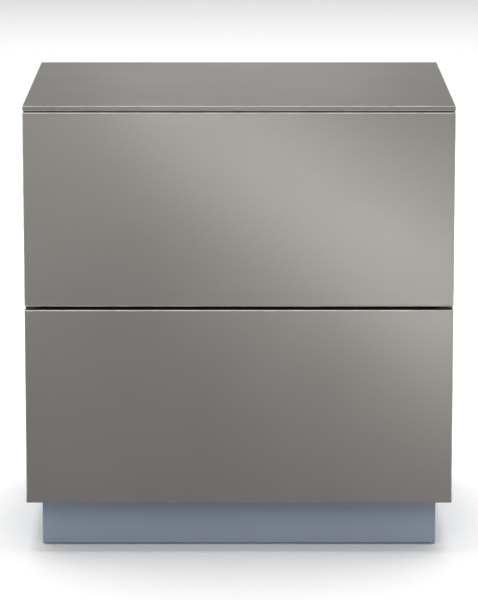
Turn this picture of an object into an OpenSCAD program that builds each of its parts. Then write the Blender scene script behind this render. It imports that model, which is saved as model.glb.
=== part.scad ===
// Two-drawer nightstand on a recessed plinth.
// Handleless: each drawer front is pressed to open, and a latch in the front edge of the carcass
// pushes the drawer out. The drawers run on ball-bearing runners that extend fully.
// Frame: millimetres, +Z up, the drawer fronts face -Y, origin on the floor under the centre.

/* [Overall size] */
// Width over the side boards and the drawer fronts
width = 500; // [430:1:620]
// Depth from the face of the drawer fronts to the rear edge
depth = 420; // [345:1:520]
// Height from the floor to the top of the cover plate
height = 530; // [440:1:640]

/* [Cover plate] */
// Thickness of the cover plate
cover_t = 6; // [4:0.5:19]
// Thickness of the clear pads that carry the cover plate
pad_t = 1; // [0.5:0.5:3]
// Diameter of a pad
pad_d = 12; // [8:1:15]

/* [Boards] */
// Thickness of the side, top and bottom boards
board_t = 16; // [15:0.5:22]
// Thickness of a drawer front
front_t = 18; // [16:0.5:22]
// Thickness of the rear panel
back_t = 4; // [3:0.5:6]
// Distance from the rear edge of the boards to the rear panel
back_inset = 12; // [6:1:20]
// Depth of the groove that holds the rear panel
groove_d = 8; // [5:0.5:9]

/* [Gaps] */
// Gap between the carcass and the back of the drawer fronts, which leaves room for pressing
front_gap = 3; // [3:0.5:5]
// Gap between the cover plate and the upper front
reveal_top = 1.5; // [1:0.5:4]
// Gap between the two fronts
reveal_mid = 4; // [2:0.5:6]
// How much taller the lower front is than the upper one
lower_extra = 3; // [0:0.5:30]

/* [Plinth] */
// Height of the underside of the carcass above the floor
plinth_h = 60; // [50:1:100]
// How far the plinth stands back from the carcass on every side
plinth_inset = 17; // [5:1:40]
// Thickness of a plinth board
plinth_t = 16; // [12:0.5:19]
// Thickness of a floor glide
glide_t = 2; // [1:0.5:4]
// Diameter of a floor glide
glide_d = 18; // [12:1:22]

/* [Drawer boxes] */
// Thickness of the sides, front and back of a box
box_t = 12; // [10:0.5:15]
// Thickness of a box bottom
floor_t = 5; // [3:0.5:6]
// Height of the box bottom above the lower edge of the box
floor_lift = 10; // [8:1:20]
// Clear height between the bottom board and the lower edge of the box
box_ground = 10; // [5:1:20]
// Distance from the upper edge of the box to the upper edge of the front
box_headroom = 43; // [30:1:80]
// Height of the runner's centre above the lower edge of the box
runner_lift = 50; // [35:1:60]

/* [Runners] */
// Width of a runner, which is the gap between the box and the side board
runner_w = 12.7; // [12.7:0.1:13.5]
// Height of a runner
runner_h = 45; // [42:0.5:48]
// Thickness of the runner's steel
steel_t = 1.2; // [1:0.1:1.3]
// Diameter of a bearing ball
ball_d = 3.2; // [2.8:0.1:3.4]
// Distance from the front edge of the carcass to the end of the runner
runner_setback = 2; // [1:0.5:6]

/* [Push latch] */
// Outside diameter of the latch barrel
barrel_d = 10; // [9:0.5:11]
// Length of the latch barrel
barrel_len = 50; // [48:1:70]
// Diameter of the plunger
plunger_d = 7; // [6:0.5:7]
// How far the plunger pushes the drawer out
latch_throw = 20; // [10:1:20]
// How far the front is pressed in to release the latch
latch_press = 2.5; // [1.5:0.5:2.5]

/* [Fasteners] */
// Diameter of a cam lock
cam_d = 15; // [12:0.5:15]
// Distance from the end of a board to the centre of its cam
cam_edge = 34; // [24:1:34]
// Diameter of a cam bolt
bolt_d = 6; // [5:0.5:6.5]
// Diameter of a carcass dowel
dowel_d = 8; // [6:0.5:8]
// Diameter of a box dowel
box_dowel_d = 6; // [5:0.5:7]
// Diameter of a chipboard screw
screw_d = 3.5; // [3:0.5:4]

/* [Hidden] */
$fn = 48;
fit = 0.1;         // clearance round a glued or screwed fitting
running = 0.08;    // radial clearance of the plunger in its barrel
ball_play = 0.15;  // clearance between a ball and each race
leaf_gap = 0.4;    // clearance between neighbouring steel leaves
cut = 1;           // how far a cutter passes a face

// Heights
cover_z = height - cover_t;
carcass_z = plinth_h;
carcass_top_z = cover_z - pad_t;
carcass_h = carcass_top_z - carcass_z;
upper_h = (cover_z - reveal_top - carcass_z - reveal_mid - lower_extra) / 2;
lower_h = upper_h + lower_extra;
lower_z = carcass_z;
upper_z = carcass_z + lower_h + reveal_mid;
box_lift = board_t + box_ground;
box_h = upper_h - box_lift - box_headroom;

// Depths
face_y = -depth / 2;
front_back_y = face_y + front_t;
carcass_y = front_back_y + front_gap;
rear_y = depth / 2;
carcass_depth = rear_y - carcass_y;
panel_y = rear_y - back_inset - back_t;

// Widths
inner_w = width - 2 * board_t;
box_w = inner_w - 2 * runner_w;

// Runner length is the longest standard one, in steps of 50, that leaves room behind the box
runner_step = 50;
rear_room = 20;
runner_len = runner_step * floor((panel_y - carcass_y - rear_room) / runner_step);
runner_y = carcass_y + runner_setback;
box_overlap = 5;
box_depth = runner_len + 2 * box_overlap;
slide_travel = runner_len - latch_throw;

// Runner section: u runs from the side board to the box, v up from the runner's centre
bend_r = 1.5;
race_outer = runner_h / 2 - steel_t;
outer_ball_v = race_outer - ball_play - ball_d / 2;
middle_v = outer_ball_v - ball_d / 2 - ball_play;
inner_ball_v = middle_v - steel_t - ball_play - ball_d / 2;
inner_v = inner_ball_v - ball_d / 2 - ball_play;
cage_t = 0.6;
lip = 1.2;
middle_u = steel_t + 2 * leaf_gap + cage_t;
inner_cage_u = middle_u + steel_t + leaf_gap;
inner_u = inner_cage_u + cage_t + leaf_gap;
outer_depth = 9;
middle_end_u = runner_w - steel_t - 2 * fit - leaf_gap;
outer_ball_u = 5.4;
inner_ball_u = inner_u + 2;
middle_short = 4;
cage_margin = 3;
cage_start = slide_travel / 4 + middle_short + cage_margin;
cage_len = slide_travel / 2 - middle_short - 2 * cage_margin;
balls_in_row = 7;
outer_screw_y = [37, runner_len - 89];
inner_screw_y = [45, runner_len - 120];
hook_hole_d = 10;

// Fastener places and lengths
pad_inset = 30;
cam_h = board_t / 2 + 4.5;
cam_inset_y = 60;
cam_ys = [carcass_y + cam_inset_y, panel_y - cam_inset_y];
dowel_offset = 32;
dowel_len = 30;
dowel_in_side = 11;
bolt_in_side = 11;
box_dowel_len = 28;
box_dowel_in_side = 8;
box_dowel_inset = 25;
runner_screw_len = 14;
screw_head_d = 7;
front_screw_d = 4;
front_screw_head_d = 9;
front_screw_head_h = 2.5;
front_screw_len = 24;
front_screw_inset = 60;
front_screw_z = 30;
catch_d = 10;
catch_t = 1.5;
magnet_d = 5;
magnet_t = 3;
plunger_len = front_gap + latch_throw + 12;
barrel_floor_t = 2;
spring_wire = 0.8;
spring_turns = 6;

// Plinth frame
plinth_x = width / 2 - plinth_inset;
plinth_front_y = carcass_y + plinth_inset;
plinth_rear_y = rear_y - plinth_inset;
plinth_board_h = plinth_h - glide_t;
block = [50, 28];
block_clear = 0.2;
block_screw_d = 4;
block_screw_in_board = 12;
block_screw_len = 38;
block_side_screw_len = block[1] + block_clear + plinth_t - 4;
block_end_screw_len = block[0] + block_clear + plinth_t - 4;
block_side_screw_z = plinth_h - 14;
block_end_screw_z = plinth_h - 24;

// ---------------------------------------------------------------- helpers

// A cylinder that starts at the origin and runs along X, Y or Z
module rod_x(d, len) { rotate([0, 90, 0]) cylinder(d = d, h = len); }
module rod_y(d, len) { rotate([-90, 0, 0]) cylinder(d = d, h = len); }

// Draws its children and their mirror image on the right-hand side
module both_sides() {
    children();
    mirror([1, 0, 0]) children();
}

module side_of(side) { mirror([side == "right" ? 1 : 0, 0, 0]) children(); }

function arc(centre, r, from, to, steps = 4) =
    [for (i = [0:steps]) let (a = from + (to - from) * i / steps)
        centre + r * [cos(a), sin(a)]];

// A strip of steel that runs along Y: its section is drawn in u and v
module strip(y, len) {
    translate([0, y + len, 0]) rotate([90, 0, 0]) linear_extrude(len) children();
}

// Upper half of a channel that opens towards +u, with or without a lip along its flange
function half_channel(u0, u1, v1, t, lip) = concat(
    arc([u0 + bend_r, v1 - bend_r], bend_r, 180, 90),
    lip > 0
        ? concat(arc([u1 - bend_r, v1 - bend_r], bend_r, 90, 0),
            [[u1, v1 - t - lip], [u1 - t, v1 - t - lip], [u1 - t, v1 - t]])
        : concat(arc([u1 - t / 2, v1 - t / 2], t / 2, 90, 0), [[u1, v1 - t]]),
    [[u0 + t, v1 - t]]
);

module channel(u0, u1, v1, t, lip) {
    half = half_channel(u0, u1, v1, t, lip);
    polygon(concat(half, [for (i = [len(half) - 1:-1:0]) [half[i][0], -half[i][1]]]));
}

// ---------------------------------------------------------------- carcass

module top_cover() {
    color([0.59, 0.58, 0.56])
        translate([-width / 2, face_y, cover_z]) cube([width, depth, cover_t]);
}

module cover_pads() {
    pad_x = inner_w / 2 - pad_inset;
    color([0.85, 0.87, 0.88])
        for (x = [-pad_x, pad_x], y = [carcass_y + pad_inset, 0, rear_y - pad_inset])
            translate([x, y, carcass_top_z]) cylinder(d = pad_d, h = pad_t);
}

// Top and bottom boards are drilled alike. z = 0 is the outer face, the groove is in the inner one
module shelf_board() {
    difference() {
        translate([-inner_w / 2, carcass_y, 0]) cube([inner_w, carcass_depth, board_t]);
        translate([-inner_w / 2 - cut, panel_y - fit, board_t - groove_d])
            cube([inner_w + 2 * cut, back_t + 2 * fit, groove_d + cut]);
        translate([0, carcass_y - cut, board_t / 2])
            rod_y(barrel_d + 2 * fit, barrel_len + fit + cut);
        both_sides() {
            for (y = cam_ys) {
                translate([-inner_w / 2 + cam_edge, y, board_t - cam_h])
                    cylinder(d = cam_d + 2 * fit, h = cam_h + cut);
                translate([-inner_w / 2 - cut, y, board_t / 2])
                    rod_x(bolt_d + 2 * fit, cam_edge + cut);
            }
            dowels_left(2 * fit, fit);
        }
    }
}

// Row of dowels across the joint of a left-hand side board, in the board's own height
module dowels_left(more_d, more_len) {
    for (y = [cam_ys[0] + dowel_offset, cam_ys[1] - dowel_offset])
        translate([-inner_w / 2 - dowel_in_side - more_len, y, board_t / 2])
            rod_x(dowel_d + more_d, dowel_len + 2 * more_len);
}

module at_bottom_board() { translate([0, 0, carcass_z]) children(); }

module at_top_board() { translate([0, 0, carcass_top_z]) mirror([0, 0, 1]) children(); }

module at_both_boards() {
    at_bottom_board() children();
    at_top_board() children();
}

module carcass_top() { color([0.55, 0.54, 0.52]) at_top_board() shelf_board(); }

module carcass_bottom() {
    color([0.55, 0.54, 0.52]) difference() {
        at_bottom_board() shelf_board();
        for (p = block_places())
            translate([block_screw_x(p), p[1], carcass_z - cut])
                cylinder(d = block_screw_d + 2 * fit, h = block_screw_in_board + fit + cut);
    }
}

module side_board() {
    color([0.55, 0.54, 0.52]) difference() {
        translate([-width / 2, carcass_y, carcass_z]) cube([board_t, carcass_depth, carcass_h]);
        translate([-inner_w / 2 - groove_d, panel_y - fit, carcass_z - cut])
            cube([groove_d + cut, back_t + 2 * fit, carcass_h + 2 * cut]);
        at_both_boards() {
            dowels_left(2 * fit, fit);
            for (y = cam_ys)
                translate([-inner_w / 2 - bolt_in_side - fit, y, board_t / 2])
                    rod_x(bolt_d + 2 * fit, bolt_in_side + fit + cut);
        }
        for (z = [lower_z, upper_z], y = outer_screw_y)
            translate([-inner_w / 2 - runner_screw_len, runner_y + y, runner_z(z)])
                rod_x(screw_d + 2 * fit, runner_screw_len + cut);
    }
}

module back_panel() {
    side_play = 0.5;
    reach = groove_d - side_play;
    color([0.62, 0.60, 0.57])
        translate([-inner_w / 2 - reach, panel_y, carcass_z + board_t - reach])
            cube([inner_w + 2 * reach, back_t, carcass_h - 2 * board_t + 2 * reach]);
}

module cam_lock() {
    slot = [2, cam_d * 0.6, 2];
    difference() {
        cylinder(d = cam_d, h = cam_h - fit);
        translate([-cam_d / 2 - cut, 0, cam_h - board_t / 2])
            rod_x(bolt_d + 2 * fit, cam_d / 2 + cut + bolt_d / 2);
        for (a = [0, 90])
            rotate([0, 0, a])
                translate([-slot[0] / 2, -slot[1] / 2, cam_h - fit - slot[2]])
                    cube([slot[0], slot[1], slot[2] + cut]);
    }
}

module cam_locks() {
    color([0.70, 0.70, 0.72]) at_both_boards() both_sides()
        for (y = cam_ys)
            translate([-inner_w / 2 + cam_edge, y, board_t - cam_h + fit]) cam_lock();
}

module cam_bolts() {
    neck_d = bolt_d - 1.5;
    shank = cam_edge - 4;
    color([0.75, 0.75, 0.77]) at_both_boards() both_sides()
        for (y = cam_ys)
            translate([-inner_w / 2, y, board_t / 2]) {
                translate([-bolt_in_side, 0, 0]) rod_x(bolt_d, bolt_in_side + shank - 6);
                rod_x(neck_d, shank);
                translate([shank - 2, 0, 0]) rod_x(bolt_d, 4);
            }
}

module carcass_dowels() {
    color([0.80, 0.66, 0.45]) at_both_boards() both_sides() dowels_left(0, 0);
}

// ---------------------------------------------------------------- plinth

module plinth_board_y(y) {
    difference() {
        translate([-plinth_x, y, glide_t]) cube([2 * plinth_x, plinth_t, plinth_board_h]);
        block_screws(2 * fit);
    }
}

module plinth_front() { color([0.47, 0.51, 0.58]) plinth_board_y(plinth_front_y); }

module plinth_back() { color([0.47, 0.51, 0.58]) plinth_board_y(plinth_rear_y - plinth_t); }

module plinth_side() {
    color([0.47, 0.51, 0.58]) difference() {
        translate([-plinth_x, plinth_front_y + plinth_t, glide_t])
            cube([plinth_t, plinth_rear_y - plinth_front_y - 2 * plinth_t, plinth_board_h]);
        block_screws(2 * fit);
    }
}

// Centres of the four corner blocks
function block_places() =
    let (x = plinth_x - plinth_t - block_clear - block[0] / 2)
    let (front = plinth_front_y + plinth_t + block_clear + block[1] / 2)
    let (rear = plinth_rear_y - plinth_t - block_clear - block[1] / 2)
    [for (sx = [-1, 1], y = [front, rear]) [sx * x, y]];

// The upright screw is at the inner end of a block, and the glide at its outer end
function block_screw_x(p) = p[0] - sign(p[0]) * block[0] / 4;
function glide_x(p) = p[0] + sign(p[0]) * block[0] / 4;

module plinth_blocks() {
    color([0.82, 0.70, 0.50])
        difference() {
            for (p = block_places())
                translate([p[0] - block[0] / 2, p[1] - block[1] / 2, glide_t])
                    cube([block[0], block[1], plinth_board_h]);
            block_screws(2 * fit);
        }
}

// Each block holds one upright screw, one into the long board and one into the plinth side
module block_screws(more_d) {
    head_d = block_screw_d * 2;
    head_h = 3;
    top = plinth_h + block_screw_in_board;
    for (p = block_places()) {
        out_x = sign(p[0]);
        out_y = sign(p[1]);
        translate([block_screw_x(p), p[1], 0]) {
            translate([0, 0, top - block_screw_len])
                cylinder(d = block_screw_d + more_d, h = block_screw_len);
            translate([0, 0, more_d > 0 ? 0 : top - block_screw_len - head_h])
                cylinder(d = head_d + more_d, h = more_d > 0 ? top - block_screw_len : head_h);
        }
        translate([p[0] + out_x * 4, p[1] - out_y * block[1] / 2, block_side_screw_z])
            mirror([0, out_y < 0 ? 1 : 0, 0]) {
                rod_y(screw_d + more_d, block_side_screw_len);
                rod_y(screw_head_d + more_d, 2);
            }
        translate([p[0] - out_x * block[0] / 2, p[1] + out_y * 6, block_end_screw_z])
            mirror([out_x < 0 ? 1 : 0, 0, 0]) {
                rod_x(screw_d + more_d, block_end_screw_len);
                rod_x(screw_head_d + more_d, 2);
            }
    }
}

module plinth_screws() { color([0.78, 0.78, 0.80]) block_screws(0); }

module floor_glides() {
    color([0.25, 0.25, 0.26])
        for (p = block_places())
            translate([glide_x(p), p[1], 0]) cylinder(d = glide_d, h = glide_t);
}

// ---------------------------------------------------------------- runners

function runner_z(front_z) = front_z + box_lift + runner_lift;

// Puts a left-hand runner section on a side of one drawer
module at_runner(side, front_z) {
    side_of(side) translate([-inner_w / 2, runner_y, runner_z(front_z)]) children();
}

// Countersunk screw through a leaf of steel, its head flush with the leaf, its point along +X
module runner_screw(more_d, len) {
    rod_x(screw_d + more_d, len);
    rotate([0, 90, 0])
        cylinder(d1 = screw_head_d + more_d, d2 = screw_d + more_d, h = steel_t);
}

module runner_outer(side, front_z) {
    color([0.78, 0.79, 0.80]) at_runner(side, front_z) difference() {
        strip(0, runner_len) channel(0, outer_depth, runner_h / 2, steel_t, lip);
        for (y = outer_screw_y)
            translate([steel_t, y, 0]) mirror([1, 0, 0]) runner_screw(2 * fit, 3);
    }
}

module runner_outer_screws() {
    color([0.80, 0.80, 0.82])
        for (side = ["left", "right"], z = [lower_z, upper_z])
            at_runner(side, z)
                for (y = outer_screw_y)
                    translate([steel_t, y, 0]) mirror([1, 0, 0]) runner_screw(0, runner_screw_len);
}

module runner_middle(side, front_z) {
    color([0.74, 0.75, 0.76]) at_runner(side, front_z) difference() {
        strip(middle_short, runner_len - 2 * middle_short)
            channel(middle_u, middle_end_u, middle_v, steel_t, lip);
        for (y = outer_screw_y)
            translate([middle_u - cut, y, 0]) rod_x(hook_hole_d, steel_t + 2 * cut);
    }
}

module runner_inner(side, front_z) {
    color([0.80, 0.81, 0.82]) at_runner(side, front_z) difference() {
        strip(0, runner_len)
            translate([runner_w, 0]) mirror([1, 0])
                channel(0, runner_w - inner_u, inner_v, steel_t, 0);
        for (y = inner_screw_y)
            translate([runner_w - steel_t, y, 0]) runner_screw(2 * fit, 3);
    }
}

// Cage of a ball bearing: two rows of balls joined by a thin web, u from u0 to u1
module ball_cage(u0, u1, ball_u, ball_v) {
    strip_t = 0.8;
    pitch = cage_len / balls_in_row;
    hole_d = ball_d + 4 * fit;
    ys = [for (i = [0:balls_in_row - 1]) (i + 0.5) * pitch];
    difference() {
        strip(0, cage_len) union() {
            for (s = [-1, 1])
                translate([u0, s * ball_v - strip_t / 2]) square([u1 - u0, strip_t]);
            translate([u0, -ball_v]) square([cage_t, 2 * ball_v]);
        }
        for (y = ys, s = [-1, 1])
            translate([ball_u, y, s * ball_v - strip_t]) cylinder(d = hole_d, h = 2 * strip_t);
    }
    for (y = ys, s = [-1, 1])
        translate([ball_u, y, s * ball_v]) sphere(d = ball_d, $fn = 24);
}

module ball_cages_outer(front_z) {
    color([0.72, 0.62, 0.40])
        for (side = ["left", "right"])
            at_runner(side, front_z) translate([0, cage_start, 0])
                ball_cage(steel_t + leaf_gap, outer_depth - steel_t - leaf_gap,
                    outer_ball_u, outer_ball_v);
}

module ball_cages_inner(front_z) {
    color([0.72, 0.62, 0.40])
        for (side = ["left", "right"])
            at_runner(side, front_z) translate([0, cage_start, 0])
                ball_cage(inner_cage_u, middle_end_u - steel_t - leaf_gap,
                    inner_ball_u, inner_ball_v);
}

// ---------------------------------------------------------------- push latches

// Puts a latch on the centre line of the top or bottom board, y = 0 at the board's front edge
module at_latch(level) {
    z = level == "upper" ? carcass_top_z - board_t / 2 : carcass_z + board_t / 2;
    translate([0, carcass_y, z]) children();
}

module latch_barrel(level) {
    color([0.30, 0.31, 0.33]) at_latch(level) difference() {
        rod_y(barrel_d, barrel_len);
        translate([0, -cut, 0])
            rod_y(plunger_d + 2 * running, barrel_len - barrel_floor_t + cut);
    }
}

// The tip rests against the catch plate in the drawer front
module latch_plunger(level) {
    color([0.85, 0.85, 0.84]) at_latch(level)
        translate([0, fit - front_gap, 0]) difference() {
            rod_y(plunger_d, plunger_len - fit);
            translate([0, -cut, 0]) rod_y(magnet_d + 2 * running, magnet_t + cut);
        }
}

module latch_magnet(level) {
    color([0.55, 0.55, 0.57]) at_latch(level)
        translate([0, fit - front_gap, 0]) rod_y(magnet_d, magnet_t - running);
}

// Coil spring along Y from the origin, as one swept tube
module coil_spring(coil_d, wire_d, len, turns) {
    steps = 14;
    sides = 6;
    rings = steps * turns;
    r = (coil_d - wire_d) / 2;
    rise = len - wire_d;
    points = [for (i = [0:rings]) let (a = 360 * i / steps, y = wire_d / 2 + rise * i / rings)
        for (k = [0:sides - 1]) let (b = 360 * k / sides, q = r + wire_d / 2 * cos(b))
            [q * cos(a), y + wire_d / 2 * sin(b), q * sin(a)]];
    skin = [for (i = [0:rings - 1], k = [0:sides - 1]) let (n = (k + 1) % sides)
        [i * sides + k, i * sides + n, (i + 1) * sides + n, (i + 1) * sides + k]];
    start = [[for (k = [sides - 1:-1:0]) k]];
    end = [[for (k = [0:sides - 1]) rings * sides + k]];
    polyhedron(points, concat(skin, start, end));
}

// Each spring is drawn as short as it gets, with its plunger pressed right in
module latch_springs() {
    plunger_end = plunger_len - front_gap + latch_press;
    spring_y = plunger_end + 2 * fit;
    spring_len = barrel_len - barrel_floor_t - spring_y - 2 * fit;
    color([0.70, 0.71, 0.72])
        for (level = ["upper", "lower"])
            at_latch(level) translate([0, spring_y, 0])
                coil_spring(plunger_d - 1, spring_wire, spring_len, spring_turns);
}

// ---------------------------------------------------------------- drawers

module drawer_front(front_z, h, latch_z) {
    color([0.59, 0.58, 0.56]) difference() {
        translate([-width / 2, face_y, front_z]) cube([width, front_t, h]);
        translate([0, front_back_y - catch_t, latch_z]) rod_y(catch_d + 2 * fit, catch_t + cut);
        front_screws(front_z, 2 * fit);
    }
}

module catch_plate(latch_z) {
    color([0.75, 0.76, 0.78])
        translate([0, front_back_y - catch_t, latch_z]) rod_y(catch_d, catch_t);
}

function upper_latch_z() = carcass_top_z - board_t / 2;
function lower_latch_z() = carcass_z + board_t / 2;

module box_side(side, front_z) {
    color([0.80, 0.79, 0.77]) side_of(side) difference() {
        translate([-box_w / 2, front_back_y, front_z + box_lift]) cube([box_t, box_depth, box_h]);
        box_groove(front_z);
        box_dowels_left(front_z, 2 * fit, fit);
        for (y = inner_screw_y)
            translate([-box_w / 2 - cut, runner_y + y, runner_z(front_z)])
                rod_x(screw_d + 2 * fit, cut + box_t - 1);
    }
}

// Room for the box bottom, with its play, in the sides, the front and the back
module box_groove(front_z) {
    reach = box_t / 2;
    translate([-box_w / 2 + box_t - reach, front_back_y + box_t - reach,
            front_z + box_lift + floor_lift])
        cube([box_w - 2 * box_t + 2 * reach, box_depth - 2 * box_t + 2 * reach, floor_t]);
}

module box_dowels_left(front_z, more_d, more_len) {
    x = -box_w / 2 + box_t - box_dowel_in_side - more_len;
    low = front_z + box_lift + floor_lift + floor_t + 10;
    high = front_z + box_lift + box_h - box_dowel_inset;
    for (y = [front_back_y + box_t / 2, front_back_y + box_depth - box_t / 2], z = [low, high])
        translate([x, y, z]) rod_x(box_dowel_d + more_d, box_dowel_len + 2 * more_len);
}

module box_cross(front_z, y) {
    difference() {
        translate([-box_w / 2 + box_t, y, front_z + box_lift])
            cube([box_w - 2 * box_t, box_t, box_h]);
        box_groove(front_z);
        both_sides() box_dowels_left(front_z, 2 * fit, fit);
        front_screws(front_z, 2 * fit);
    }
}

module box_front(front_z) { color([0.80, 0.79, 0.77]) box_cross(front_z, front_back_y); }

module box_back(front_z) {
    color([0.80, 0.79, 0.77]) box_cross(front_z, front_back_y + box_depth - box_t);
}

module box_bottom(front_z) {
    play = 0.5;
    reach = box_t / 2 - play;
    color([0.80, 0.79, 0.77])
        translate([-box_w / 2 + box_t - reach, front_back_y + box_t - reach,
                front_z + box_lift + floor_lift])
            cube([box_w - 2 * box_t + 2 * reach, box_depth - 2 * box_t + 2 * reach, floor_t]);
}

module box_dowels(front_z) {
    color([0.80, 0.66, 0.45]) both_sides() box_dowels_left(front_z, 0, 0);
}

// Pan-head screws from inside the box into the front
module front_screws(front_z, more_d) {
    x = box_w / 2 - box_t - front_screw_inset;
    for (s = [-1, 1], z = [front_z + box_lift + front_screw_z,
            front_z + box_lift + box_h - front_screw_z])
        translate([s * x, front_back_y + box_t, z]) {
            mirror([0, 1, 0]) rod_y(front_screw_d + more_d, front_screw_len);
            if (more_d == 0) rod_y(front_screw_head_d, front_screw_head_h);
        }
}

module drawer_screws(front_z) {
    color([0.80, 0.80, 0.82]) {
        front_screws(front_z, 0);
        for (side = ["left", "right"])
            at_runner(side, front_z)
                for (y = inner_screw_y)
                    translate([runner_w - steel_t, y, 0])
                        runner_screw(0, steel_t + box_t - 2);
    }
}

// ---------------------------------------------------------------- nodes

top_cover();
cover_pads();
carcass_top();
carcass_bottom();
side_board();  // side_left
mirror([1, 0, 0]) side_board();  // side_right
back_panel();
cam_locks();
cam_bolts();
carcass_dowels();
plinth_front();
plinth_back();
plinth_side();  // plinth_left
mirror([1, 0, 0]) plinth_side();  // plinth_right
plinth_blocks();
plinth_screws();
floor_glides();
runner_outer("left", upper_z);  // runner_outer_upper_left
runner_outer("right", upper_z);  // runner_outer_upper_right
runner_outer("left", lower_z);  // runner_outer_lower_left
runner_outer("right", lower_z);  // runner_outer_lower_right
runner_outer_screws();
runner_middle("left", upper_z);  // runner_middle_upper_left
runner_middle("right", upper_z);  // runner_middle_upper_right
runner_middle("left", lower_z);  // runner_middle_lower_left
runner_middle("right", lower_z);  // runner_middle_lower_right
runner_inner("left", upper_z);  // runner_inner_upper_left
runner_inner("right", upper_z);  // runner_inner_upper_right
runner_inner("left", lower_z);  // runner_inner_lower_left
runner_inner("right", lower_z);  // runner_inner_lower_right
ball_cages_outer(upper_z);  // ball_cages_outer_upper
ball_cages_outer(lower_z);  // ball_cages_outer_lower
ball_cages_inner(upper_z);  // ball_cages_inner_upper
ball_cages_inner(lower_z);  // ball_cages_inner_lower
latch_barrel("upper");  // latch_barrel_upper
latch_barrel("lower");  // latch_barrel_lower
latch_springs();
latch_plunger("upper");  // latch_plunger_upper
latch_plunger("lower");  // latch_plunger_lower
latch_magnet("upper");  // latch_magnet_upper
latch_magnet("lower");  // latch_magnet_lower
drawer_front(upper_z, upper_h, upper_latch_z());  // upper_front
box_side("left", upper_z);  // upper_box_left
box_side("right", upper_z);  // upper_box_right
box_front(upper_z);  // upper_box_front
box_back(upper_z);  // upper_box_back
box_bottom(upper_z);  // upper_box_bottom
box_dowels(upper_z);  // upper_box_dowels
drawer_screws(upper_z);  // upper_screws
catch_plate(upper_latch_z());  // upper_catch_plate
drawer_front(lower_z, lower_h, lower_latch_z());  // lower_front
box_side("left", lower_z);  // lower_box_left
box_side("right", lower_z);  // lower_box_right
box_front(lower_z);  // lower_box_front
box_back(lower_z);  // lower_box_back
box_bottom(lower_z);  // lower_box_bottom
box_dowels(lower_z);  // lower_box_dowels
drawer_screws(lower_z);  // lower_screws
catch_plate(lower_latch_z());  // lower_catch_plate
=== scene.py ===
import math
import bpy
from mathutils import Matrix, Vector


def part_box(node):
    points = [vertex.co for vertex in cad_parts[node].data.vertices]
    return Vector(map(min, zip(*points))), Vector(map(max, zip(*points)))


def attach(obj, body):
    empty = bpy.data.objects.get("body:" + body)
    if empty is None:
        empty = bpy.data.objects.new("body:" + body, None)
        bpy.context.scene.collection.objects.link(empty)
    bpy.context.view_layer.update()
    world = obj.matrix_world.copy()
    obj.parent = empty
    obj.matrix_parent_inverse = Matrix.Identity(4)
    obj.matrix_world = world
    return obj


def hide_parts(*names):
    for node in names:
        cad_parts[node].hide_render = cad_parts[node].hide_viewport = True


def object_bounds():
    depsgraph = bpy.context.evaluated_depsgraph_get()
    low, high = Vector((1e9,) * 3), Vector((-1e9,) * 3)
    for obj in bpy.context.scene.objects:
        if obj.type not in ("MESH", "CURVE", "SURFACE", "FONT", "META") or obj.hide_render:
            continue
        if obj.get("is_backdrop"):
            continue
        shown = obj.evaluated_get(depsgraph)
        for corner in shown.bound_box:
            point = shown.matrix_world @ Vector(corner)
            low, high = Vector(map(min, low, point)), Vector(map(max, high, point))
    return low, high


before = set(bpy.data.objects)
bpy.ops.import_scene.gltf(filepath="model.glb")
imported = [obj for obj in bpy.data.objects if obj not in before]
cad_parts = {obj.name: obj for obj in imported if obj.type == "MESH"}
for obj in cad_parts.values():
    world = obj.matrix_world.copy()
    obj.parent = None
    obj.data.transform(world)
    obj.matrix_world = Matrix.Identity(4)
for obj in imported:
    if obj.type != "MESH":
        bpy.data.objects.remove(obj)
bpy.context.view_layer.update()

# ---------------------------------------------------------------- cover plate
# A thin compact board over the whole cabinet, flush with the drawer fronts. It is sprayed all
# over with warm-grey satin lacquer, and its arrises are eased by hand before spraying. Its grey
# is set darker than the same lacquer on the fronts: painted shade on the top.

MM = 0.001


def deselect():
    bpy.ops.object.select_all(action="DESELECT")


def make_current(piece):
    deselect()
    piece.select_set(True)
    bpy.context.view_layer.objects.active = piece


def board(name, low, high):
    """A box between two corners, its object at the origin and its place in its mesh."""
    deselect()
    low, high = Vector(low), Vector(high)
    bpy.ops.mesh.primitive_cube_add(size=1, location=(low + high) / 2, scale=high - low)
    piece = bpy.context.object
    piece.name = piece.data.name = name
    bpy.ops.object.transform_apply(location=True, rotation=True, scale=True)
    return piece


def pick_edges(piece, wanted):
    """Selects the edges whose middle and direction pass the test."""
    mesh = piece.data
    for part in (*mesh.vertices, *mesh.polygons):
        part.select = False
    for edge_highlight_share in mesh.edges:
        a, b = (mesh.vertices[i].co for i in edge_highlight_share.vertices)
        edge_highlight_share.select = wanted((a + b) / 2, (b - a).normalized())


def ease(piece, radius, wanted=lambda middle, along: True, steps=3):
    """Rounds the edges that pass the test."""
    make_current(piece)
    bpy.context.tool_settings.mesh_select_mode = (False, True, False)
    pick_edges(piece, wanted)
    bpy.ops.object.mode_set(mode="EDIT")
    bpy.ops.mesh.bevel(offset=radius, segments=steps, profile=0.5, affect="EDGES")
    bpy.ops.object.mode_set(mode="OBJECT")
    return piece


def use_modifier(piece, kind, **settings):
    make_current(piece)
    bpy.ops.object.modifier_add(type=kind)
    modifier = piece.modifiers[-1]
    for key, value in settings.items():
        setattr(modifier, key, value)
    bpy.ops.object.modifier_apply(modifier=modifier.name)
    return piece


def flatten_faces(piece, angle=35):
    """Smooth arrises next to dead flat faces."""
    make_current(piece)
    bpy.ops.object.shade_smooth_by_angle(angle=math.radians(angle))
    return use_modifier(piece, "WEIGHTED_NORMAL", keep_sharp=True, weight=100)


def install(piece, body, slot, material, *nodes):
    """Gives a finished piece its material, its body and the CAD nodes it stands for."""
    piece.data.materials.clear()
    piece.data.materials.append(material)
    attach(piece, body)
    if nodes:
        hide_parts(*nodes)
    return piece


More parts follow.
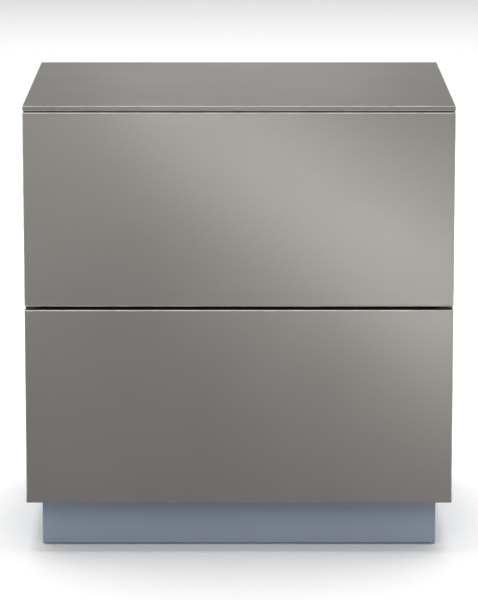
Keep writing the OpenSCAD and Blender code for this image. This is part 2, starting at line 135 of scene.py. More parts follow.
def effect(name, inputs, outputs):
    """An empty shader node group, with its input and output nodes."""
    group = bpy.data.node_groups.new(name, "ShaderNodeTree")
    for label, kind, value in inputs:
        socket = group.interface.new_socket(name=label, in_out="INPUT", socket_type=kind)
        socket.default_value = value
    for label, kind in outputs:
        group.interface.new_socket(name=label, in_out="OUTPUT", socket_type=kind)
    return group, group.nodes.new("NodeGroupInput"), group.nodes.new("NodeGroupOutput")


def node(tree, kind, values=None, **settings):
    """A shader node, its settings, and its socket values or links by socket name or number."""
    made = tree.nodes.new(kind)
    for key, value in settings.items():
        setattr(made, key, value)
    for key, value in (values or {}).items():
        if isinstance(value, bpy.types.NodeSocket):
            tree.links.new(value, made.inputs[key])
        else:
            made.inputs[key].default_value = value
    return made


def math_node(tree, operation, first, second=0.0, third=0.0):
    made = node(tree, "ShaderNodeMath", {0: first, 1: second, 2: third}, operation=operation)
    return made.outputs[0]


def noise(tree, place, scale, detail=2.0, roughness=0.5):
    values = {"Vector": place, "Scale": scale, "Detail": detail, "Roughness": roughness}
    return node(tree, "ShaderNodeTexNoise", values).outputs["Fac"]


def between(tree, value, low, high, out_low=0.0, out_high=1.0, smooth=False):
    kind = "SMOOTHSTEP" if smooth else "LINEAR"
    values = {0: value, 1: low, 2: high, 3: out_low, 4: out_high}
    return node(tree, "ShaderNodeMapRange", values, interpolation_type=kind).outputs[0]


def mixed(tree, share, first, second, blend="MIX"):
    values = {0: share, 6: first, 7: second}
    return node(tree, "ShaderNodeMix", values, data_type="RGBA", blend_type=blend).outputs[2]


def place_of(tree):
    return node(tree, "ShaderNodeTexCoord").outputs["Object"]


# Uneven film: lacquer and foil never lie quite evenly, so colour and gloss drift a little.
FILM, film_in, film_out = effect(
    "Uneven film",
    [("Color", "NodeSocketColor", (0.5, 0.5, 0.5, 1)), ("Roughness", "NodeSocketFloat", 0.4),
     ("Drift", "NodeSocketFloat", 0.03), ("Speck", "NodeSocketFloat", 0.03),
     ("Peel", "NodeSocketFloat", 500.0)],
    [("Color", "NodeSocketColor"), ("Roughness", "NodeSocketFloat"), ("Height", "NodeSocketFloat")])
place = place_of(FILM)
cloud = noise(FILM, place, 7.0, 3.0)
speck = noise(FILM, place, 5200.0, 1.0)
peel = noise(FILM, place, film_in.outputs["Peel"], 1.5, 0.4)
cloud = math_node(FILM, "SUBTRACT", cloud, 0.5)
speck = math_node(FILM, "SUBTRACT", speck, 0.5)
drift = math_node(FILM, "MULTIPLY", cloud, film_in.outputs["Drift"])
fleck = math_node(FILM, "MULTIPLY", speck, film_in.outputs["Speck"])
value = math_node(FILM, "ADD", math_node(FILM, "ADD", drift, fleck), 1.0)
tinted = node(FILM, "ShaderNodeHueSaturation", {"Value": value, "Color": film_in.outputs["Color"]})
sheen = math_node(FILM, "MULTIPLY_ADD", drift, 1.5, film_in.outputs["Roughness"])
FILM.links.new(tinted.outputs["Color"], film_out.inputs["Color"])
FILM.links.new(sheen, film_out.inputs["Roughness"])
FILM.links.new(peel, film_out.inputs["Height"])

# Arris: a mask of the eased edges of square boards, where the surface faces no main direction.
# It lays a painted highlight along them, broken into patches, and fades it out on the lowest
# edges, near the floor.
ARRIS, arris_in, arris_out = effect(
    "Arris", [("Breaks", "NodeSocketFloat", 90.0)], [("Mask", "NodeSocketFloat")])
coords = node(ARRIS, "ShaderNodeTexCoord")
facing = node(ARRIS, "ShaderNodeVectorMath", {0: coords.outputs["Normal"]}, operation="ABSOLUTE")
axes = node(ARRIS, "ShaderNodeSeparateXYZ", {0: facing.outputs[0]})
squareness = math_node(ARRIS, "MAXIMUM", axes.outputs[0], axes.outputs[1])
squareness = math_node(ARRIS, "MAXIMUM", squareness, axes.outputs[2])
turned = between(ARRIS, squareness, 0.985, 0.90, smooth=True)
# Patches where the painted edge highlight is stronger or weaker along each edge.
breaks = noise(ARRIS, coords.outputs["Object"], arris_in.outputs["Breaks"], 4.0)
patchy_edge_highlight = between(ARRIS, breaks, 0.30, 0.60, 0.60, 1.0, smooth=True)
height = node(ARRIS, "ShaderNodeSeparateXYZ", {0: coords.outputs["Object"]}).outputs[2]
edge_highlight_fade = between(ARRIS, height, 61 * MM, 75 * MM, 0.05, 1.0)
patchy_edge_highlight = math_node(ARRIS, "MULTIPLY", patchy_edge_highlight, edge_highlight_fade)
ARRIS.links.new(math_node(ARRIS, "MULTIPLY", turned, patchy_edge_highlight), arris_out.inputs["Mask"])


def new_material(name):
    material = bpy.data.materials.new(name)
    material.use_nodes = True
    return material, material.node_tree, material.node_tree.nodes["Principled BSDF"]


def placed(tree, group, values):
    made = tree.nodes.new("ShaderNodeGroup")
    made.node_tree = group
    for key, value in values.items():
        if isinstance(value, bpy.types.NodeSocket):
            tree.links.new(value, made.inputs[key])
        else:
            made.inputs[key].default_value = value
    return made


def bump(tree, height, strength, distance):
    values = {"Height": height, "Strength": strength, "Distance": distance}
    return node(tree, "ShaderNodeBump", values).outputs["Normal"]


def lacquer(name, color, roughness, metallic, coat, edge_highlight_share):
    material, tree, shader = new_material(name)
    film = placed(tree, FILM, {"Color": (*color, 1), "Roughness": roughness, "Drift": 0.08,
                               "Speck": 0.16, "Peel": 420.0})
    arris = placed(tree, ARRIS, {"Breaks": 60.0})
    # Pale grey mixed in along the arrises: a painted edge highlight, its share set per material.
    edge_highlighted_color = mixed(tree, math_node(tree, "MULTIPLY", arris.outputs["Mask"], edge_highlight_share),
                 film.outputs["Color"], (0.78, 0.76, 0.73, 1))
    tree.links.new(edge_highlighted_color, shader.inputs["Base Color"])
    tree.links.new(film.outputs["Roughness"], shader.inputs["Roughness"])
    tree.links.new(bump(tree, film.outputs["Height"], 0.16, 0.05 * MM), shader.inputs["Normal"])
    shader.inputs["Metallic"].default_value = metallic
    shader.inputs["Coat Weight"].default_value = coat
    shader.inputs["Coat Roughness"].default_value = 0.36
    return material


WARM_GREY = (0.190, 0.1812, 0.1668)
# The front lacquer's warm grey, painted darker as shade on the top surface.
shaded_top_lacquer = lacquer("cover_lacquer_shaded", (0.155, 0.146, 0.131), 0.40, 0.40, 0.15, 0.80)
cover = board("cover_plate", *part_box("top_cover"))
ease(cover, 1.0 * MM)
flatten_faces(cover)
install(cover, "carcass", "lacquer_top", shaded_top_lacquer, "top_cover")

# ---------------------------------------------------------------- cover pads
# Clear soft pads, stuck to the top board, that carry the cover plate and leave a shadow gap.

clear_pad, tree, shader = new_material("clear_pad")
haze = noise(tree, place_of(tree), 900.0, 2.0)
tint = mixed(tree, haze, (0.80, 0.84, 0.85, 1), (0.88, 0.90, 0.90, 1))
tree.links.new(tint, shader.inputs["Base Color"])
tree.links.new(between(tree, haze, 0.3, 0.7, 0.25, 0.40), shader.inputs["Roughness"])
shader.inputs["Transmission Weight"].default_value = 0.6


def finish_node(name, material):
    """A CAD node whose shape is right keeps it, and takes this material."""
    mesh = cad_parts[name].data
    mesh.materials.clear()
    mesh.materials.append(material)


finish_node("cover_pads", clear_pad)

# ---------------------------------------------------------------- carcass boards
# Four 16 mm boards, lacquered like the fronts but flatter. The sides run the full height and the
# top and bottom boards stand between them; all four are grooved for the rear panel.

carcass_lacquer = lacquer("carcass_lacquer", WARM_GREY, 0.46, 0.30, 0.08, 0.35)
BOARD_ARRIS = 0.8 * MM
GROOVE = 8 * MM
GROOVE_PLAY = 0.1 * MM
panel_low, panel_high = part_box("back_panel")


def cut_away(piece, cutter):
    """Cuts one shape out of another and removes the cutter."""
    use_modifier(piece, "BOOLEAN", operation="DIFFERENCE", solver="EXACT", object=cutter)
    bpy.data.objects.remove(cutter, do_unlink=True)
    return piece


def rod(name, start, end, radius, sides=48):
    """A round bar from one point to another along a main axis."""
    start, end = Vector(start), Vector(end)
    way = end - start
    turn = Vector((0, 0, 1)).rotation_difference(way).to_euler()
    deselect()
    bpy.ops.mesh.primitive_cylinder_add(
        radius=radius, depth=way.length, vertices=sides, location=(start + end) / 2, rotation=turn)
    piece = bpy.context.object
    piece.name = piece.data.name = name
    bpy.ops.object.transform_apply(location=True, rotation=True, scale=True)
    return piece


for side, out in (("left", -1), ("right", 1)):
    low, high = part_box(f"side_{side}")
    panel = board(f"side_board_{side}", low, high)
    ease(panel, BOARD_ARRIS)
    inner = high.x if out < 0 else low.x
    groove_x = sorted((inner + out * GROOVE, inner - out * MM))
    groove = board("groove", (groove_x[0], panel_low.y - GROOVE_PLAY, low.z - MM),
                   (groove_x[1], panel_high.y + GROOVE_PLAY, high.z + MM))
    cut_away(panel, groove)
    flatten_faces(panel)
    install(panel, "carcass", "lacquer_carcass", carcass_lacquer, f"side_{side}")

CAM_RADIUS = 7.5 * MM
CAM_DEPTH = 12.5 * MM
HOLE_PLAY = 0.1 * MM
BARREL_RADIUS = 5 * MM
LATCH_HOLE_DEPTH = 50.1 * MM
cams_low, cams_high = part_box("cam_locks")
cam_xs = (cams_low.x + CAM_RADIUS, cams_high.x - CAM_RADIUS)
cam_ys = (cams_low.y + CAM_RADIUS, cams_high.y - CAM_RADIUS)
for level, inward in (("top", -1), ("bottom", 1)):
    low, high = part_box(f"carcass_{level}")
    shelf = board(f"{level}_board", low, high)
    ease(shelf, BOARD_ARRIS, lambda middle, along: abs(along.x) > 0.9)
    inner = low.z if inward < 0 else high.z
    groove_z = sorted((inner - inward * GROOVE, inner + inward * MM))
    cut_away(shelf, board("groove", (low.x - MM, panel_low.y - GROOVE_PLAY, groove_z[0]),
                          (high.x + MM, panel_high.y + GROOVE_PLAY, groove_z[1])))
    middle_z = (low.z + high.z) / 2
    cut_away(shelf, rod("latch_hole", (0, low.y - MM, middle_z),
                        (0, low.y + LATCH_HOLE_DEPTH, middle_z), BARREL_RADIUS + HOLE_PLAY))
    for x in cam_xs:
        for y in cam_ys:
            cut_away(shelf, rod("cam_pocket", (x, y, inner - inward * CAM_DEPTH),
                                (x, y, inner + inward * MM), CAM_RADIUS + HOLE_PLAY))
    flatten_faces(shelf)
    install(shelf, "carcass", "lacquer_carcass", carcass_lacquer, f"carcass_{level}")

# ---------------------------------------------------------------- rear panel
# A thin fibre board that slides into the grooves. Its inner face has a grey film, and its outer
# face is bare: brown, with pressed fibres that run every way.

hardboard, tree, shader = new_material("hardboard")
place = place_of(tree)
strands = noise(tree, place, 1500.0, 5.0, 0.8)
fibre = noise(tree, place, 700.0, 6.0, 0.85)
blotch = noise(tree, place, 24.0, 3.0)
bare = mixed(tree, between(tree, fibre, 0.36, 0.64),
             (0.125, 0.078, 0.042, 1), (0.235, 0.158, 0.092, 1))
bare = mixed(tree, between(tree, strands, 0.55, 0.75, 0.0, 0.5), bare, (0.33, 0.235, 0.145, 1))
bare = mixed(tree, between(tree, blotch, 0.40, 0.70, 0.0, 0.18), bare, (0.15, 0.10, 0.06, 1))
depth = node(tree, "ShaderNodeSeparateXYZ", {0: place}).outputs["Y"]
outer = math_node(tree, "GREATER_THAN", depth, (panel_low.y + panel_high.y) / 2)
tree.links.new(mixed(tree, outer, (0.30, 0.29, 0.27, 1), bare), shader.inputs["Base Color"])
tree.links.new(math_node(tree, "MULTIPLY_ADD", outer, 0.22, 0.50), shader.inputs["Roughness"])
tree.links.new(bump(tree, fibre, 0.35, 0.08 * MM), shader.inputs["Normal"])

rear = board("rear_panel", panel_low, panel_high)
ease(rear, 0.3 * MM, steps=2)
flatten_faces(rear)
install(rear, "carcass", "hardboard", hardboard, "back_panel")

# ---------------------------------------------------------------- cams, bolts and dowels
# Zinc-cast cams in the top and bottom boards pull on steel bolts in the side boards, and fluted
# beech dowels beside them keep the corners in line.


def metal(name, color, roughness, grain, streak, strength):
    """Metal with a fine grain, longer along one direction where it was rolled or drawn."""
    material, tree, shader = new_material(name)
    mapping = node(tree, "ShaderNodeMapping", {"Vector": place_of(tree), "Scale": streak})
    grains = noise(tree, mapping.outputs[0], grain, 4.0, 0.6)
    stain = noise(tree, place_of(tree), 40.0, 3.0)
    shade = mixed(tree, between(tree, grains, 0.3, 0.7), tuple(c * 0.86 for c in color) + (1,),
                  tuple(color) + (1,))
    shade = mixed(tree, between(tree, stain, 0.45, 0.75, 0.0, 0.25), shade,
                  tuple(c * 0.78 for c in color) + (1,))
    tree.links.new(shade, shader.inputs["Base Color"])
    uneven = math_node(tree, "SUBTRACT", grains, 0.5)
    rough = math_node(tree, "MULTIPLY_ADD", uneven, 0.18, roughness)
    tree.links.new(rough, shader.inputs["Roughness"])
    tree.links.new(bump(tree, grains, strength, 0.03 * MM), shader.inputs["Normal"])
    shader.inputs["Metallic"].default_value = 1.0
    return material


zinc_casting = metal("zinc_casting", (0.50, 0.50, 0.52), 0.48, 900.0, (1, 1, 1), 0.5)
zinc_screw = metal("zinc_screw", (0.62, 0.63, 0.66), 0.30, 1500.0, (1, 1, 1), 0.15)
finish_node("cam_locks", zinc_casting)
finish_node("cam_bolts", zinc_screw)


def timber(name, pale, dark, grain_scale, streak):
    """Planed timber: pale early wood and darker late wood, drawn out along the grain."""
    material, tree, shader = new_material(name)
    mapping = node(tree, "ShaderNodeMapping", {"Vector": place_of(tree), "Scale": streak})
    rings = noise(tree, mapping.outputs[0], grain_scale, 5.0, 0.6)
    pores = noise(tree, mapping.outputs[0], grain_scale * 9, 3.0, 0.7)
    shade = mixed(tree, between(tree, rings, 0.38, 0.62), (*pale, 1), (*dark, 1))
    shade = mixed(tree, between(tree, pores, 0.55, 0.75, 0.0, 0.4), shade,
                  tuple(c * 0.6 for c in dark) + (1,))
    tree.links.new(shade, shader.inputs["Base Color"])
    tree.links.new(between(tree, rings, 0.3, 0.7, 0.55, 0.70), shader.inputs["Roughness"])
    tree.links.new(bump(tree, pores, 0.3, 0.1 * MM), shader.inputs["Normal"])
    return material


beech = timber("beech_dowel", (0.58, 0.42, 0.26), (0.45, 0.29, 0.16), 60.0, (0.08, 1, 1))
finish_node("carcass_dowels", beech)

# ---------------------------------------------------------------- plinth
# A frame of four particle boards wrapped in blue-grey foil. The front and rear boards run the
# full width, and the sides stand between them.

plinth_foil, tree, shader = new_material("plinth_foil")
film = placed(tree, FILM, {"Color": (0.222, 0.270, 0.350, 1), "Roughness": 0.42, "Drift": 0.04,
                           "Speck": 0.06, "Peel": 300.0})
arris = placed(tree, ARRIS, {"Breaks": 50.0})
# Lighter blue-grey mixed in along the arrises: a painted edge highlight.
tree.links.new(mixed(tree, math_node(tree, "MULTIPLY", arris.outputs["Mask"], 0.3),
                     film.outputs["Color"], (0.42, 0.45, 0.50, 1)), shader.inputs["Base Color"])
tree.links.new(film.outputs["Roughness"], shader.inputs["Roughness"])
tree.links.new(bump(tree, film.outputs["Height"], 0.12, 0.05 * MM), shader.inputs["Normal"])


def copy_to(pattern, place, facing=(0, 0, 1)):
    """A copy of a piece modelled at the origin and facing up, set at a place and turned."""
    make_current(pattern)
    bpy.ops.object.duplicate()
    piece = bpy.context.object
    piece.location = place
    piece.rotation_euler = Vector((0, 0, 1)).rotation_difference(Vector(facing)).to_euler()
    bpy.ops.object.transform_apply(location=True, rotation=True, scale=True)
    return piece


def put_away(pattern):
    bpy.data.objects.remove(pattern, do_unlink=True)


for pair in (("front", "back"), ("left", "right")):
    low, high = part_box(f"plinth_{pair[0]}")
    pattern = board("plinth_board", (0, 0, 0), high - low)
    ease(pattern, 0.7 * MM)
    flatten_faces(pattern)
    for place_name in pair:
        low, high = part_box(f"plinth_{place_name}")
        plinth = copy_to(pattern, low)
        plinth.name = plinth.data.name = f"plinth_board_{place_name}"
        install(plinth, "carcass", "plinth_foil", plinth_foil, f"plinth_{place_name}")
    put_away(pattern)

# ---------------------------------------------------------------- plinth blocks and glides
# Planed pine blocks stiffen the plinth corners. Each is screwed to both boards and up into the
# cabinet, and has a black plastic glide nailed under its outer end.

pine = timber("planed_pine", (0.66, 0.50, 0.30), (0.52, 0.34, 0.17), 45.0, (0.10, 1, 1))
finish_node("plinth_blocks", pine)

black_plastic, tree, shader = new_material("black_plastic")
grit = noise(tree, place_of(tree), 1600.0, 3.0)
tint = mixed(tree, grit, (0.018, 0.018, 0.019, 1), (0.032, 0.032, 0.034, 1))
tree.links.new(tint, shader.inputs["Base Color"])
tree.links.new(between(tree, grit, 0.3, 0.7, 0.42, 0.56), shader.inputs["Roughness"])
tree.links.new(bump(tree, grit, 0.2, 0.05 * MM), shader.inputs["Normal"])


def joined(name, parts):
    """Several shapes as one piece."""
    make_current(parts[0])
    for part in parts:
        part.select_set(True)
    bpy.ops.object.join()
    parts[0].name = parts[0].data.name = name
    return parts[0]


GLIDE_RADIUS = 9 * MM
glides_low, glides_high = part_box("floor_glides")
glide = rod("glide", (0, 0, 0), (0, 0, glides_high.z - glides_low.z), GLIDE_RADIUS)
ease(glide, 0.8 * MM, lambda middle, along: middle.z < 0.1 * MM)
glides = [copy_to(glide, (x, y, glides_low.z))
          for x in (glides_low.x + GLIDE_RADIUS, glides_high.x - GLIDE_RADIUS)
          for y in (glides_low.y + GLIDE_RADIUS, glides_high.y - GLIDE_RADIUS)]
put_away(glide)
install(flatten_faces(joined("glides", glides)), "carcass", "glide_plastic", black_plastic,
        "floor_glides")

# ---------------------------------------------------------------- plinth screws
# Zinc-plated chipboard screws with a cross recess. In each block one stands upright and holds
# the cabinet down, and one runs into each of the two plinth boards.

RECESS_WIDE = 0.55
RECESS_DEEP = 0.6
RECESS_THIN = 0.22


def screw(length, shank_radius, head_radius, head_depth, domed=0.0):
    """A screw standing on its tip, the seat of its head at the origin: sunk flush, or domed."""
    shank = rod("shank", (0, 0, -length), (0, 0, 0), shank_radius, 20)
    ease(shank, shank_radius * 0.8, lambda middle, along: middle.z < 0.1 * MM - length, 2)
    top = head_depth if domed else 0.0
    head = rod("head", (0, 0, top - head_depth), (0, 0, top), head_radius, 36)
    if domed:
        ease(head, domed, lambda middle, along: abs(middle.z - top) < 0.05 * MM, 4)
    wide, deep = head_radius * RECESS_WIDE, head_depth * RECESS_DEEP
    thin = wide * RECESS_THIN
    for x, y in ((wide, thin), (thin, wide)):
        cut_away(head, board("recess", (-x, -y, top - deep), (x, y, top + deep)))
    return joined("screw", [head, shank])


blocks_low, blocks_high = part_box("plinth_blocks")
BLOCK = Vector((50 * MM, 28 * MM, 0))
upright = screw(41 * MM, 2 * MM, 4 * MM, 3 * MM)
into_long_board = screw(40 * MM, 1.75 * MM, 3.5 * MM, 2 * MM)
into_short_board = screw(62 * MM, 1.75 * MM, 3.5 * MM, 2 * MM)
plinth_screws = []
for sx in (-1, 1):
    for sy in (-1, 1):
        x = (blocks_high.x if sx > 0 else blocks_low.x) - sx * BLOCK.x / 2
        y = (blocks_high.y if sy > 0 else blocks_low.y) - sy * BLOCK.y / 2
        plinth_screws += [
            copy_to(upright, (x - sx * BLOCK.x / 4, y, 31 * MM), (0, 0, -1)),
            copy_to(into_long_board, (x + sx * 4 * MM, y - sy * 14 * MM, 46 * MM), (0, -sy, 0)),
            copy_to(into_short_board, (x - sx * 25 * MM, y + sy * 6 * MM, 36 * MM), (-sx, 0, 0))]
for pattern in (upright, into_long_board, into_short_board):
    put_away(pattern)
install(flatten_faces(joined("plinth_block_screws", plinth_screws)), "carcass", "zinc_screw",
        zinc_screw, "plinth_screws")

# ---------------------------------------------------------------- runners
# Full-extension ball-bearing runners, rolled from zinc-plated strip: an outer member on the side
# board, a middle one, and an inner one on the drawer box, with steel balls in thin cages between.

rolled_zinc = metal("rolled_zinc", (0.60, 0.61, 0.63), 0.34, 260.0, (1, 0.05, 1), 0.25)
cage_steel = metal("cage_steel", (0.55, 0.53, 0.47), 0.28, 500.0, (1, 0.3, 1), 0.15)
for level in ("upper", "lower"):
    for member in ("outer", "middle", "inner"):
        for side in ("left", "right"):
            finish_node(f"runner_{member}_{level}_{side}", rolled_zinc)
    for cage in ("outer", "inner"):
        finish_node(f"ball_cages_{cage}_{level}", cage_steel)

OUTER_SCREW_Y = (37 * MM, 261 * MM)
STRIP = 1.2 * MM
RUNNER_SCREW = {"shank_radius": 1.75 * MM, "head_radius": 3.5 * MM, "head_depth": STRIP}
outer_screw = screw(14 * MM, **RUNNER_SCREW)
runner_screws = []
for level in ("upper", "lower"):
    for side, out in (("left", -1), ("right", 1)):
        low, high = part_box(f"runner_outer_{level}_{side}")
        seat_x = (low.x if out < 0 else high.x) - out * STRIP
        z = (low.z + high.z) / 2
        runner_screws += [copy_to(outer_screw, (seat_x, low.y + y, z), (-out, 0, 0))
                          for y in OUTER_SCREW_Y]
put_away(outer_screw)
install(flatten_faces(joined("runner_screws", runner_screws)), "carcass", "zinc_screw",
        zinc_screw, "runner_outer_screws")

# ---------------------------------------------------------------- push latches
# A dark plastic barrel is pressed into the front edge of the top and of the bottom board. Its
# white plunger is sprung, and a magnet in the tip holds the drawer's steel catch plate.


def plastic(name, dark, light, roughness):
    material, tree, shader = new_material(name)
    grit = noise(tree, place_of(tree), 1400.0, 3.0)
    tree.links.new(mixed(tree, grit, (*dark, 1), (*light, 1)), shader.inputs["Base Color"])
    tree.links.new(between(tree, grit, 0.3, 0.7, roughness - 0.06, roughness + 0.06),
                   shader.inputs["Roughness"])
    tree.links.new(bump(tree, grit, 0.15, 0.04 * MM), shader.inputs["Normal"])
    return material


latch_grey = plastic("latch_grey", (0.055, 0.057, 0.062), (0.075, 0.078, 0.083), 0.40)
latch_white = plastic("latch_white", (0.66, 0.66, 0.64), (0.72, 0.72, 0.70), 0.35)
nickel = metal("nickel_plate", (0.66, 0.64, 0.61), 0.20, 1200.0, (1, 1, 1), 0.1)
spring_wire = metal("spring_wire", (0.42, 0.42, 0.43), 0.30, 900.0, (1, 1, 1), 0.1)
finish_node("latch_springs", spring_wire)

PLUNGER_RADIUS = 3.5 * MM
MAGNET_RADIUS = 2.5 * MM
SLIDE_PLAY = 0.08 * MM
BARREL_END = 2 * MM
MAGNET_BORE_DEPTH = 3 * MM
low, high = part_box("latch_barrel_upper")
barrel = rod("barrel", (0, 0, 0), (0, high.y - low.y, 0), BARREL_RADIUS)
ease(barrel, 0.5 * MM, lambda middle, along: middle.y < 0.1 * MM and abs(along.y) < 0.5)
cut_away(barrel, rod("bore", (0, -MM, 0), (0, high.y - low.y - BARREL_END, 0),
                     PLUNGER_RADIUS + SLIDE_PLAY))
low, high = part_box("latch_plunger_upper")
plunger = rod("plunger", (0, 0, 0), (0, high.y - low.y, 0), PLUNGER_RADIUS)
ease(plunger, 0.5 * MM, lambda middle, along: abs(along.y) < 0.5)
cut_away(plunger, rod("bore", (0, -MM, 0), (0, MAGNET_BORE_DEPTH, 0), MAGNET_RADIUS + SLIDE_PLAY))
low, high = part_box("latch_magnet_upper")
magnet = rod("magnet", (0, 0, 0), (0, high.y - low.y, 0), MAGNET_RADIUS)
ease(magnet, 0.3 * MM, lambda middle, along: abs(along.y) < 0.5)
for level in ("upper", "lower"):
    for kind, pattern, body, slot, material in (
            ("barrel", barrel, "carcass", "latch_grey", latch_grey),
            ("plunger", plunger, f"{level}_plunger", "latch_white", latch_white),
            ("magnet", magnet, f"{level}_plunger", "magnet_nickel", nickel)):
        low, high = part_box(f"latch_{kind}_{level}")
        piece = copy_to(pattern, ((low.x + high.x) / 2, low.y, (low.z + high.z) / 2))
        piece.name = piece.data.name = f"{kind}_{level}"
        install(flatten_faces(piece), body, slot, material, f"latch_{kind}_{level}")
for pattern in (barrel, plunger, magnet):
    put_away(pattern)

# ---------------------------------------------------------------- drawer boxes
# Light grey boxes of 12 mm board with a linen-embossed foil, rounded along their top edges, on a
# grooved-in bottom. Beech dowels hold the corners.

LINEN, linen_in, linen_out = effect(
    "Linen weave", [("Thread", "NodeSocketFloat", 900.0)],
    [("Height", "NodeSocketFloat"), ("Shade", "NodeSocketFloat")])
coords = node(LINEN, "ShaderNodeTexCoord")
square = node(LINEN, "ShaderNodeSeparateXYZ", {0: coords.outputs["Object"]})
turned = node(LINEN, "ShaderNodeVectorMath", {0: coords.outputs["Normal"]}, operation="ABSOLUTE")
turned = node(LINEN, "ShaderNodeSeparateXYZ", {0: turned.outputs[0]})


def flat_place(first, second):
    """The place on a flat face, from two of the three axes."""
    values = {0: square.outputs[first], 1: square.outputs[second]}
    return node(LINEN, "ShaderNodeCombineXYZ", values).outputs[0]


across = mixed(LINEN, math_node(LINEN, "GREATER_THAN", turned.outputs[0], 0.5),
               flat_place(0, 1), flat_place(1, 2))
across = mixed(LINEN, math_node(LINEN, "GREATER_THAN", turned.outputs[1], 0.5),
               across, flat_place(0, 2))
wobble = node(LINEN, "ShaderNodeTexNoise", {"Vector": across, "Scale": 120.0, "Detail": 3.0})
wobbled = node(LINEN, "ShaderNodeVectorMath",
               {0: wobble.outputs["Color"], 1: (1.6 * MM, 1.6 * MM, 0), 2: across},
               operation="MULTIPLY_ADD")
lines = node(LINEN, "ShaderNodeSeparateXYZ", {0: wobbled.outputs[0]})
THREAD_TURN = 6300.0
warp = math_node(LINEN, "SINE", math_node(LINEN, "MULTIPLY", lines.outputs[0], THREAD_TURN))
weft = math_node(LINEN, "SINE", math_node(LINEN, "MULTIPLY", lines.outputs[1], THREAD_TURN))
threads = math_node(LINEN, "MAXIMUM", warp, weft)
slub = noise(LINEN, across, linen_in.outputs["Thread"], 3.0, 0.7)
height = math_node(LINEN, "MULTIPLY_ADD", slub, 0.8, threads)
LINEN.links.new(height, linen_out.inputs["Height"])
LINEN.links.new(between(LINEN, height, -0.4, 1.5), linen_out.inputs["Shade"])

linen_foil, tree, shader = new_material("linen_foil")
linen = placed(tree, LINEN, {"Thread": 900.0})
arris = placed(tree, ARRIS, {"Breaks": 50.0})
shade = mixed(tree, linen.outputs["Shade"], (0.48, 0.46, 0.43, 1), (0.60, 0.585, 0.55, 1))
# Lighter grey mixed in along the arrises: a painted edge highlight.
tree.links.new(mixed(tree, math_node(tree, "MULTIPLY", arris.outputs["Mask"], 0.3), shade,
                     (0.72, 0.70, 0.67, 1)), shader.inputs["Base Color"])
tree.links.new(between(tree, linen.outputs["Shade"], 0, 1, 0.58, 0.48), shader.inputs["Roughness"])
tree.links.new(bump(tree, linen.outputs["Height"], 0.35, 0.10 * MM), shader.inputs["Normal"])

WALL_ROUND = 2 * MM
WALL_ARRIS = 0.4 * MM
for walls, lengthwise in ((("left", "right"), "y"), (("front", "back"), "x")):
    low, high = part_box(f"upper_box_{walls[0]}")
    pattern = board("wall", (0, 0, 0), high - low)
    top = high.z - low.z
    ease(pattern, WALL_ROUND, lambda middle, along: abs(middle.z - top) < 0.1 * MM
         and abs(getattr(along, lengthwise)) > 0.9, 4)
    ease(pattern, WALL_ARRIS,
         lambda middle, along: middle.z < top - WALL_ROUND - MM and abs(along.z) < 0.1, 2)
    for level in ("upper", "lower"):
        for wall in walls:
            low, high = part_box(f"{level}_box_{wall}")
            piece = copy_to(pattern, low)
            piece.name = piece.data.name = f"{level}_wall_{wall}"
            install(flatten_faces(piece), f"{level}_drawer", "drawer_linen", linen_foil,
                    f"{level}_box_{wall}")
    put_away(pattern)

low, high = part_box("upper_box_bottom")
pattern = board("base", (0, 0, 0), high - low)
ease(pattern, 0.3 * MM, steps=2)
for level in ("upper", "lower"):
    low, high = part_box(f"{level}_box_bottom")
    base = copy_to(pattern, low)
    base.name = base.data.name = f"{level}_base"
    install(flatten_faces(base), f"{level}_drawer", "drawer_linen", linen_foil,
            f"{level}_box_bottom")
    finish_node(f"{level}_box_dowels", beech)
put_away(pattern)

# ---------------------------------------------------------------- drawer screws
# Four pan-head screws hold each front from inside its box, and two countersunk screws hold each
# inner runner member.

FRONT_SCREW_INSET = 60 * MM
FRONT_SCREW_HEIGHT = 30 * MM
INNER_SCREW_Y = (45 * MM, 230 * MM)
front_screw = screw(24 * MM, 2 * MM, 4.5 * MM, 2.5 * MM, 1.3 * MM)
inner_screw = screw(11 * MM, **RUNNER_SCREW)
for level in ("upper", "lower"):
    parts = []
    low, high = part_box(f"{level}_box_front")
    for x in (low.x + FRONT_SCREW_INSET, high.x - FRONT_SCREW_INSET):
        for z in (low.z + FRONT_SCREW_HEIGHT, high.z - FRONT_SCREW_HEIGHT):
            parts.append(copy_to(front_screw, (x, high.y, z), (0, 1, 0)))
    for side, out in (("left", -1), ("right", 1)):
        low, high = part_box(f"runner_inner_{level}_{side}")
        seat_x = (high.x if out < 0 else low.x) + out * STRIP
        z = (low.z + high.z) / 2
        for y in INNER_SCREW_Y:
            parts.append(copy_to(inner_screw, (seat_x, low.y + y, z), (out, 0, 0)))
    install(flatten_faces(joined(f"{level}_drawer_screws", parts)), f"{level}_drawer", "zinc_screw",
            zinc_screw, f"{level}_screws")
put_away(front_screw)
put_away(inner_screw)

# ---------------------------------------------------------------- drawer fronts
# Full-width fronts of 18 mm fibre board, sprayed all over with the warm-grey metallic lacquer.
# A steel catch plate is let into the back of each.

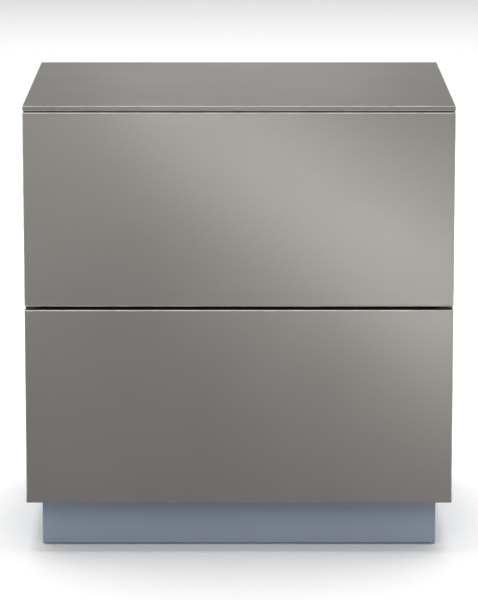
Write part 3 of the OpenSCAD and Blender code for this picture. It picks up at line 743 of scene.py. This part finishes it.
front_lacquer = lacquer("front_lacquer", WARM_GREY, 0.33, 0.50, 0.25, 0.85)
FRONT_ARRIS = 1.5 * MM
CATCH_RADIUS = 5 * MM
low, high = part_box("upper_catch_plate")
catch = rod("catch", (0, 0, 0), (0, high.y - low.y, 0), CATCH_RADIUS)
ease(catch, 0.3 * MM, lambda middle, along: abs(along.y) < 0.5)
for level in ("upper", "lower"):
    low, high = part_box(f"{level}_front")
    front = board(f"{level}_front_board", low, high)
    ease(front, FRONT_ARRIS, steps=4)
    plate_low, plate_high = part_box(f"{level}_catch_plate")
    z = (plate_low.z + plate_high.z) / 2
    cut_away(front, rod("catch_recess", (0, plate_low.y, z), (0, high.y + MM, z),
                        CATCH_RADIUS + HOLE_PLAY))
    install(flatten_faces(front), f"{level}_drawer", "lacquer_front", front_lacquer,
            f"{level}_front")
    plate = copy_to(catch, (0, plate_low.y, z))
    plate.name = plate.data.name = f"{level}_catch"
    install(flatten_faces(plate), f"{level}_drawer", "magnet_nickel", nickel,
            f"{level}_catch_plate")
put_away(catch)

# ---------------------------------------------------------------- studio
# A plain pale floor and soft lights. Narrow soft boxes in front are seen only by the gloss of
# the lacquer, and lay one broad slanting band of light over the fronts.

deselect()
bpy.ops.mesh.primitive_plane_add(size=60, location=(0, 0, 0))
floor = bpy.context.object
floor.name = "studio_floor"
pale, tree, shader = new_material("studio_floor")
shader.inputs["Base Color"].default_value = (0.92, 0.92, 0.92, 1)
shader.inputs["Roughness"].default_value = 0.9
floor.data.materials.append(pale)
floor.visible_glossy = False
floor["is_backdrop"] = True

world = bpy.data.worlds.new("studio")
world.use_nodes = True
sky = world.node_tree.nodes["Background"]
sky.inputs["Color"].default_value = (1, 1, 1, 1)
sky.inputs["Strength"].default_value = 0.45
bpy.context.scene.world = world


def soft_box(name, place, aim, size, power, spread=180, roll=0):
    """A rectangular light, aimed at a point and rolled about its own direction."""
    deselect()
    bpy.ops.object.light_add(type="AREA", location=place)
    lamp = bpy.context.object
    lamp.name = name
    lamp.data.shape = "RECTANGLE"
    lamp.data.size, lamp.data.size_y = size
    lamp.data.energy = power
    lamp.data.spread = math.radians(spread)
    facing = (Vector(aim) - Vector(place)).to_track_quat("-Z", "Y")
    turn = facing.to_matrix() @ Matrix.Rotation(math.radians(roll), 3, "Z")
    lamp.rotation_euler = turn.to_euler()
    lamp.visible_camera = False
    return lamp


for name, place, aim, size, power, spread in (
        ("rear_soft", (0, 3.2, 3.2), (0, 3.2, 0), (7.0, 5.0), 108.0, 120),
        ("top_soft", (0, 1.0, 2.4), (0, 1.0, 0), (3.0, 3.0), 23.7, 70),
        ("front_soft", (0, -2.4, 1.6), (0, 0, 0), (2.0, 1.2), 12.0, 120)):
    soft_box(name, place, aim, size, power, spread).visible_glossy = False

for name, x, y, z, size, power, roll in (
        ("band", 0.12, -1.0, 0.29, (0.80, 0.04), 1.83, -38),
        ("left_sheen", -0.42, -1.0, 0.35, (0.30, 0.50), 0.55, 0),
        ("right_sheen", 0.42, -1.0, 0.42, (0.30, 0.50), 0.44, 0),
        ("rear_sheen", 0.0, 2.0, 0.95, (0.50, 0.30), 0.35, 0)):
    soft_box(name, (x, y, z), (x, 0, z), size, power, roll=roll).visible_diffuse = False
arris_light = soft_box("arris_light", (0, -1.6, 2.2), (0, -0.2, 0.5), (2.4, 0.8), 17.0)
arris_light.visible_diffuse = False

bpy.context.scene.view_settings.view_transform = "Standard"
deselect()
CAMERA_TILT = 10.61
bpy.ops.object.camera_add(
    location=(0, -4.397, 1.087), rotation=(math.radians(90 - CAMERA_TILT), 0, 0))
camera = bpy.context.object
camera.data.lens = 219.7
camera.data.sensor_width = 36
bpy.context.scene.camera = camera

low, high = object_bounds()
